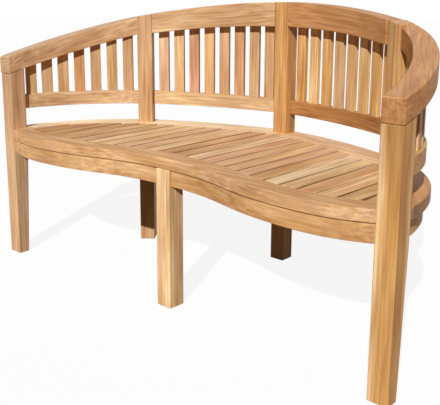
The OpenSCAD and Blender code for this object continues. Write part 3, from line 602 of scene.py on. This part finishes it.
# %% Lower rails
ARM_MIDDLE = (ARM_SET - ARM_REAR) / 2
arm_start = on_side_leg(POST / 2, ARM_MIDDLE)
arm_to = np.array([side_x - LEG / 2, leg_rear_y])
side_arc = arc_through(arm_start, arm_to, ARM_BULGE)


def between_leg_and_post(arc, grown_by):
    """Plan line of a side piece from the outer rear leg's face to the front leg's rear face."""
    a = meet(arc, grown_by, on_side_leg(POST / 2 + FIT, 0), SIDE_BACK)
    b = meet(arc, grown_by, np.array([side_x - LEG / 2, leg_rear_y + FIT]), [1, 0])
    return stroke(arc, grown_by, a, b)


def on_arc(run, arc, first, last, low, high):
    """Corner lines of a rail that follows the arc, its faces first and last away from it."""
    return lines(run(arc, first), run(arc, last), low, high)


LOW_EDGE = 2 * MM
low_back = on_arc(between_posts, back_arc, SLAT_BACK - LOW_T / 2, SLAT_BACK + LOW_T / 2, low_z, low_top)
low_side = on_arc(between_leg_and_post, side_arc, -LOW_T / 2, LOW_T / 2, low_z, low_top)
side_way = [*(arm_to - on_side_leg(POST / 2 + FIT, ARM_MIDDLE)), 0]
back_way = [*(rear_side - rear_mid), 0]
for node, corners, way, tone in (
    ("right_back_lower_rail", low_back, back_way, "walnut"),
    ("left_back_lower_rail", mirror(low_back), back_way * flip, "pale+straw+walnut"),
    ("right_side_lower_rail", low_side, side_way, "honey"),
    ("left_side_lower_rail", mirror(low_side), side_way * flip, "pale+walnut"),
):
    piece(node, [grown(bar(corners, LOW_EDGE), way, tone)])

# %% [markdown]
# Thirty upright slats stand between the rails, each turned to face the sitters and let into the
# rails at both ends. No two are of one tone, as they are cut from offcuts of many planks.

# %% Back slats
SLAT_EDGE = 1.5 * MM


def slat_shares(count, length, at_a, at_b):
    """Places of the slats along a curve as shares of its length, with equal gaps between the legs."""
    gap = (length - at_a - at_b - count * SLAT_W) / (count + 1)
    return (at_a + gap + SLAT_W / 2 + np.arange(count) * (SLAT_W + gap)) / length


def slat(arc, grown_by, a, b, share, under):
    """Corner lines of one upright slat, its width along the curve's tangent."""
    angle = bearing(arc, a) + (bearing(arc, b) - bearing(arc, a)) * share
    out = np.array([math.cos(angle), math.sin(angle)])
    wide, thick = np.array([-out[1], out[0]]) * SLAT_W / 2, out * SLAT_T / 2
    at = arc[0] + (arc[1] + grown_by) * out
    plan = [at - wide - thick, at + wide - thick, at + wide + thick, at - wide + thick]
    return upright([plan] * 2, [[low_top - SLAT_IN] * 4, [under(at, share) + SLAT_IN] * 4])


arm_length = side_arc[1] * abs(bearing(side_arc, arm_start) - bearing(side_arc, arm_to))
back_set = [slat(back_arc, SLAT_BACK, rear_mid, rear_side, s, lambda at, share: back_under(share))
            for s in slat_shares(BACK_SLATS, back_length, POST / 2, POST / 2)]
side_set = [slat(side_arc, 0, arm_start, arm_to, s, lambda at, share: arm_top(at[1]) - ARM_T)
            for s in slat_shares(SIDE_SLATS, arm_length, 0, 0)]
# Tones in the order of the places, from the middle leg outwards and from the rear leg to the front
SLAT_TONES = {
    "left_back_slats": "biscuit+walnut biscuit+tan tan+honey+rose biscuit+rose+tan "
                       "biscuit+honey+honey rose+rose+tan honey+biscuit biscuit+biscuit+rose",
    "right_back_slats": "honey+amber straw+honey honey biscuit+tan "
                        "amber+straw honey+straw honey honey+amber",
    "left_side_slats": "biscuit+walnut straw+tan biscuit+walnut clay+tan straw+tan biscuit+tan straw+tan",
    "right_side_slats": "biscuit+tan sand biscuit+honey biscuit+tan straw sand rose+walnut",
}
for node, shape in (("left_back_slats", back_set), ("right_back_slats", back_set),
                    ("left_side_slats", side_set), ("right_side_slats", side_set)):
    tones = SLAT_TONES[node].split()
    side = mirror if node.startswith("left") else np.asarray
    piece(node, [grown(bar(side(c), SLAT_EDGE), UP, t) for c, t in zip(shape, tones)])

# %% [markdown]
# The seat's rim is made of five flat boards. The front one is a long wave: a hollow in the middle, a
# bulge on each side, and a tighter turn back to the front legs. The same three arcs, moved back,
# give its rear edge and both faces of the rail below it.

# %% The wave of the front edge
bulge_x = side_x - BULGE_IN
wave_r = (bulge_x**2 + HOLLOW**2) / (4 * HOLLOW)
hollow_arc = (np.array([0, peak_y + HOLLOW - wave_r]), wave_r)
peak_arc = (np.array([bulge_x, peak_y + wave_r]), wave_r)
turn_x = side_x - LEG - bulge_x
turn_depth = front_y + EDGE_BACK - peak_y
turn_r = (turn_x**2 + turn_depth**2) / (2 * turn_depth)
turn_arc = (np.array([bulge_x, peak_y + turn_r]), turn_r)
wave_angle = math.asin(bulge_x / 2 / wave_r)


def wave(back, start_x, end_x):
    """Right half of the front edge moved back, from start_x to end_x: hollow, peak and turn."""
    first = math.acos(start_x / (wave_r + back))
    last = math.asin((end_x - bulge_x) / (turn_r - back))
    low = -math.pi / 2
    parts = [at_angles(hollow_arc, back, first, math.pi / 2 - wave_angle, STEPS),
             at_angles(peak_arc, -back, low - wave_angle, low, STEPS)[1:],
             at_angles(turn_arc, -back, low, low + last, STEPS)[1:]]
    return np.vstack(parts)


def both_halves(line):
    """The line with its mirror image before it; the middle point is shared."""
    return np.vstack([line[:0:-1] * [-1, 1], line])


leg_side_x = side_x - LEG - FIT
front_line, rear_line = (both_halves(wave(back, 0, leg_side_x)) for back in (0, FRONT_W))
board = lines(front_line, rear_line, board_z, seat_z)
# Roundings in the order of the corners: lower front, lower rear, upper rear, upper front
BOARD_EDGES = np.array([2, 1.5, 1.5, 2.5]) * MM
front_board = grown(bar(board, BOARD_EDGES), ACROSS, "amber+rose+straw")
piece("front_seat_board", [front_board])

# %% [markdown]
# The other four boards close the rim. Two run behind the slats and meet in the middle of the bench;
# two run round the sides, mitred to the first pair at the outer rear legs and cut round the front
# legs. Their outer edges are rounded most, where a hand takes hold.

# %% Rear boards and side boards
rim_from = rear_side + RIM_OUT * SIDE_BACK
rim_to = np.array([side_x - RIM_END, leg_rear_y])
rim_arc = arc_through(rim_from, rim_to, RIM_BULGE)
inside_a, inside_b = rear_mid - [0, RIM_IN], on_side_leg(0, -RIM_SIDE_IN)
inside_c = np.array([side_x - RIM_END - SIDE_W, leg_rear_y])
in_back_arc = arc_through(inside_a, inside_b, IN_BACK_BULGE)
in_side_arc = arc_through(inside_b, inside_c, IN_SIDE_BULGE)


def mitred(arc, grown_by):
    """Plan line of a rear board from the middle of the bench to the mitre at the outer rear leg."""
    a = meet(arc, grown_by, np.array([FIT / 2, rear_mid[1]]), [0, 1])
    b = meet(arc, grown_by, on_side_leg(-FIT / 2, 0), SIDE_BACK)
    return stroke(arc, grown_by, a, b)


def front_edge_y(x, back):
    """Depth of the front edge moved back, at x on its last turn."""
    return turn_arc[0][1] - math.sqrt((turn_r - back) ** 2 - (x - turn_arc[0][0]) ** 2)


rear_board = lines(mitred(in_back_arc, 0), mitred(back_arc, RIM_OUT), board_z, seat_z)
# The side board's inner line turns at the front board, follows it to the leg and goes on behind it
CORNER_IN, FEW = 1.4 * MM, 4
follow_x = np.linspace(inside_c[0] + CORNER_IN, leg_side_x, FEW)
follow = np.array([[x, front_edge_y(x, FRONT_W + FIT)] for x in follow_x])
start = meet(in_side_arc, 0, on_side_leg(FIT / 2, 0), SIDE_BACK)
inner = np.vstack([stroke(in_side_arc, 0, start, follow[0], STEPS), follow[1:],
                   [leg_side_x + FIT, leg_rear_y + FIT]])
start = meet(rim_arc, 0, on_side_leg(FIT / 2, 0), SIDE_BACK)
# Its outer line has as many points: a few stand close together where the inner one turns
TURN_BEHIND_LEG, TURN_LONG = 60 * MM, 4 * MM
turning = meet(rim_arc, 0, np.array([side_x, leg_rear_y + TURN_BEHIND_LEG]), [1, 0])
outer = np.vstack([stroke(rim_arc, 0, start, turning, STEPS),
                   stroke(rim_arc, 0, turning, turning - [0, TURN_LONG], FEW)[1:],
                   meet(rim_arc, 0, np.array([side_x, leg_rear_y + FIT]), [1, 0])])
side_board = lines(inner, outer, board_z, seat_z)
RIM_EDGES = np.array([1.5, 3, 3.5, 1.5]) * MM
side_grain = [*(inside_c - inside_b), 0]
for node, corners, way, tone in (
    ("right_rear_board", rear_board, back_way, "sand"),
    ("left_rear_board", mirror(rear_board), back_way * flip, "pale"),
    ("right_side_board", side_board, side_grain, "amber+clay"),
    ("left_side_board", mirror(side_board), side_grain * flip, "pale"),
):
    piece(node, [grown(bar(corners, RIM_EDGES), way, tone)])

# %% [markdown]
# Twenty-five slats run from front to back between the rim's boards, flush with them. Each slat's two
# ends follow the boards' curves, so its shape is worked out across its width: at every x there is a
# front end and a rear end. The outermost slats run out where the side boards turn in.

# %% Seat slats
SEAT_EDGE = 2 * MM
PITCH = (2 * side_x - 2 * SEAT_SIDE) / SEAT_SLATS


def front_end(x):
    """Depth of the front board's rear edge at x."""
    back = FRONT_W + FIT
    x = abs(x)
    if x < hollow_arc[0][0] + (wave_r + back) * math.sin(wave_angle):
        return hollow_arc[0][1] + math.sqrt((wave_r + back) ** 2 - x**2)
    if x < bulge_x:
        return peak_arc[0][1] - math.sqrt((wave_r - back) ** 2 - (x - bulge_x) ** 2)
    return front_edge_y(x, back)


def rim_end(x, sign):
    """Depth of the rim's inner edge at x: sign 1 for its rear run, -1 where the side runs back in."""
    x = abs(x)
    arc = in_back_arc if x < inside_b[0] else in_side_arc
    reach = (arc[1] - FIT) ** 2 - (x - arc[0][0]) ** 2
    return arc[0][1] + sign * math.sqrt(max(reach, 0))


# No slat reaches the last bit of the opening, where the two runs of the side board close in
LAST = 0.6 * MM
limit = in_side_arc[0][0] + in_side_arc[1] - FIT - LAST
# From this far inside the side board's end, a slat's front end may meet that board first
NEAR_SIDE = 4 * MM
HALF_SLAT = (PITCH - SEAT_GAP) / 2
STATIONS = 13
# The flanks and undersides are painted darker: painted shade in the gaps between the slats and under them
GAP_SHADE, GAP_SHADE_BELOW = 0.32, 0.9 * SEAT_EDGE
# Every third slat has sapwood at its sides, this far from its middle in mm
SAP_FROM, SAP_TO, SAP_EVERY = 15, 21, 3
# Tones from left to right
SEAT_TONES = (
    "honey+tan amber+tan honey+tan tan clay+straw rose+straw honey+pale honey+pale rose+straw rose+sand "
    "honey+pale honey+rose biscuit+clay pale+sand rose+sand biscuit+honey sand rose+sand honey+sand pale "
    "honey+pale clay+sand sand amber+straw honey+tan"
).split()
for number in range(1, SEAT_SLATS + 1):
    x_mid = (number - (SEAT_SLATS + 1) / 2) * PITCH
    xs = np.linspace(max(x_mid - HALF_SLAT, -limit), min(x_mid + HALF_SLAT, limit), STATIONS)
    front = [front_end(x) if abs(x) <= inside_c[0] - NEAR_SIDE else max(front_end(x), rim_end(x, -1))
             for x in xs]
    rear = [rim_end(x, 1) for x in xs]
    corners = lines(np.column_stack([xs, front]), np.column_stack([xs, rear]), seat_z - SEAT_T, seat_z)
    heart = (ACROSS, rng.uniform(SAP_FROM, SAP_TO)) if number % SAP_EVERY == 1 else None
    solid = grown(bar(corners, SEAT_EDGE), TO_BACK, SEAT_TONES[number - 1], heart)
    # Painted shade: every point below the top rounding, on the flanks and the underside, is darkened
    solid["timber"][solid["co"][:, 2] < seat_z - GAP_SHADE_BELOW, :3] *= GAP_SHADE
    piece(f"seat_slat_{number}", [solid])

# %% [markdown]
# Below the rim runs a second ring of rails, set back a little so that the boards overhang them and a
# thin shadow divides the two. Behind it a stretcher and two bearers carry the slats; these stay the
# frame's own solids, as do the pegs and dowels, and take a rougher, sawn finish.

# %% Rails under the seat
top = board_z - FIT
first_x = LEG / 2 + FIT
front_line, rear_line = (wave(back, first_x, leg_side_x) for back in (APRON_BACK, APRON_BACK + APRON_T))
front_rail = lines(front_line, rear_line, apron_z, top)
rear_face = RIM_OUT - APRON_IN
rear_rail = on_arc(between_posts, back_arc, rear_face - APRON_T, rear_face, apron_z, top)
side_rail = on_arc(between_leg_and_post, rim_arc, -APRON_IN - APRON_T, -APRON_IN, apron_z, top)
for node, corners, way, tone in (
    ("right_front_rail", front_rail, ACROSS, "amber+sand+tan"),
    ("left_front_rail", mirror(front_rail), ACROSS, "clay+straw"),
    ("right_rear_rail", rear_rail, back_way, "tan"),
    ("left_rear_rail", mirror(rear_rail), back_way * flip, "tan"),
    ("right_side_rail", side_rail, side_grain, "honey"),
    ("left_side_rail", mirror(side_rail), side_grain * flip, "tan"),
):
    piece(node, [grown(bar(corners, LOW_EDGE), way, tone)])
for node in ("seat_stretcher", "left_bearer", "right_bearer", "joint_pegs", "seat_dowels"):
    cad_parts[node].data.materials.clear()
    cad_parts[node].data.materials.append(sawn_teak)
print("rails done, five nodes keep the frame's own solids")

# %% [markdown]
# The sun stands at the front, a little to the left of the camera and 35 degrees up, so the rails
# throw short crisp shadows on the slats. The sky is weak and warm, so that the shadows stay deep and
# brown. A broad lamp behind the bench only brightens the rear view. The floor is a plain pale sweep
# that keeps a faint shadow. To the camera, and in anything mirrored, the world is plain white.

# %% Light and floor
SUN_AZIMUTH, SUN_HEIGHT = 26, 35
SUN_STRENGTH, SKY_STRENGTH = 4.5, 0.07
WHITE, WARM = "#ffffff", "#ffbf88"
LAMPS = (
    # name, azimuth, height and width in degrees, strength
    ("sun", SUN_AZIMUTH, SUN_HEIGHT, 0.6, SUN_STRENGTH),
    ("rear_panel", 195, 16, 50, 0.8),
)
for name, azimuth, height, width, strength in LAMPS:
    lamp = bpy.data.objects.new(name, bpy.data.lights.new(name, "SUN"))
    lamp.data.energy = strength
    lamp.data.angle = math.radians(width)
    lamp.rotation_euler = (math.radians(90 - height), 0, math.radians(azimuth))
    lamp.visible_glossy = name == "sun"
    bpy.context.scene.collection.objects.link(lamp)


def background_ray(tree):
    """1 for a ray that shows the plain background: the camera's own, and one mirrored or let through."""
    rays = add(tree, "ShaderNodeLightPath")
    seen = rays.outputs["Is Camera Ray"]
    for kind in ("Is Glossy Ray", "Is Transmission Ray"):
        larger = add(tree, "ShaderNodeMath", {"operation": "MAXIMUM"}, {0: seen, 1: rays.outputs[kind]})
        seen = larger.outputs[0]
    return seen


world = bpy.data.worlds.new("pale room")
bpy.context.scene.world = world
world.use_nodes = True
tree = world.node_tree
tree.nodes.clear()
fill = add(tree, "ShaderNodeBackground", {"Color": linear(WARM), "Strength": SKY_STRENGTH})
plain = add(tree, "ShaderNodeBackground", {"Color": linear(WHITE), "Strength": 1.0})
mix = add(tree, "ShaderNodeMixShader", None,
          {0: background_ray(tree), 1: fill.outputs[0], 2: plain.outputs[0]})
add(tree, "ShaderNodeOutputWorld", None, {"Surface": mix.outputs[0]})

paper = bpy.data.materials.new("pale floor paint")
paper.use_nodes = True
tree = paper.node_tree
tree.nodes.clear()
FLOOR_GLOW, FLOOR_SEEN, FLOOR_BOUNCE = 0.9, "#f2f2f2", "#80603c"
seen = background_ray(tree)
share = add(tree, "ShaderNodeMath", {"operation": "MULTIPLY", 1: FLOOR_GLOW}, {0: seen})
# The camera sees white paint; the light it throws back on the bench is that of a dull brown one
paint = add(tree, "ShaderNodeMix", {"data_type": "RGBA", 6: linear(FLOOR_BOUNCE), 7: linear(FLOOR_SEEN)},
            {0: seen})
matte = add(tree, "ShaderNodeBsdfDiffuse", None, {"Color": paint.outputs[2]})
glow = add(tree, "ShaderNodeEmission", {"Color": linear(WHITE), "Strength": 1.0})
mix = add(tree, "ShaderNodeMixShader", None, {0: share.outputs[0], 1: matte.outputs[0], 2: glow.outputs[0]})
add(tree, "ShaderNodeOutputMaterial", None, {"Surface": mix.outputs[0]})
FLOOR = 30.0
floor_mesh = bpy.data.meshes.new("floor")
floor_corners = [(x, y, 0) for x, y in plan_box(-FLOOR, FLOOR, -FLOOR, FLOOR)]
floor_mesh.from_pydata(floor_corners, [], [(0, 1, 2, 3)])
floor_mesh.materials.append(paper)
floor = bpy.data.objects.new("floor", floor_mesh)
bpy.context.scene.collection.objects.link(floor)
print("sun at", SUN_HEIGHT, "degrees, azimuth", SUN_AZIMUTH)

# %% [markdown]
# The camera stands off the bench's right front corner, as high as the bench's back, and looks
# slightly down. The lens is moved in its frame, as in a picture that is cropped at its top.

# %% Camera
CAMERA_AT = (1.4102, -1.5799, 0.8665)
TILT, PAN, ROLL = (math.radians(a) for a in (78.13, 42.14, 0.3))
SENSOR_MM, LENS_MM, SHIFT = 36, 58.55, -0.1193
camera = bpy.data.objects.new("camera", bpy.data.cameras.new("camera"))
camera.data.sensor_width = SENSOR_MM
camera.data.lens = LENS_MM
camera.data.shift_y = SHIFT
turned = Matrix.Rotation(PAN, 4, "Z") @ Matrix.Rotation(TILT, 4, "X") @ Matrix.Rotation(ROLL, 4, "Z")
camera.matrix_world = Matrix.Translation(CAMERA_AT) @ turned
bpy.context.scene.collection.objects.link(camera)
bpy.context.scene.camera = camera
bpy.context.scene.view_settings.view_transform = "Standard"
print("camera at", CAMERA_AT)
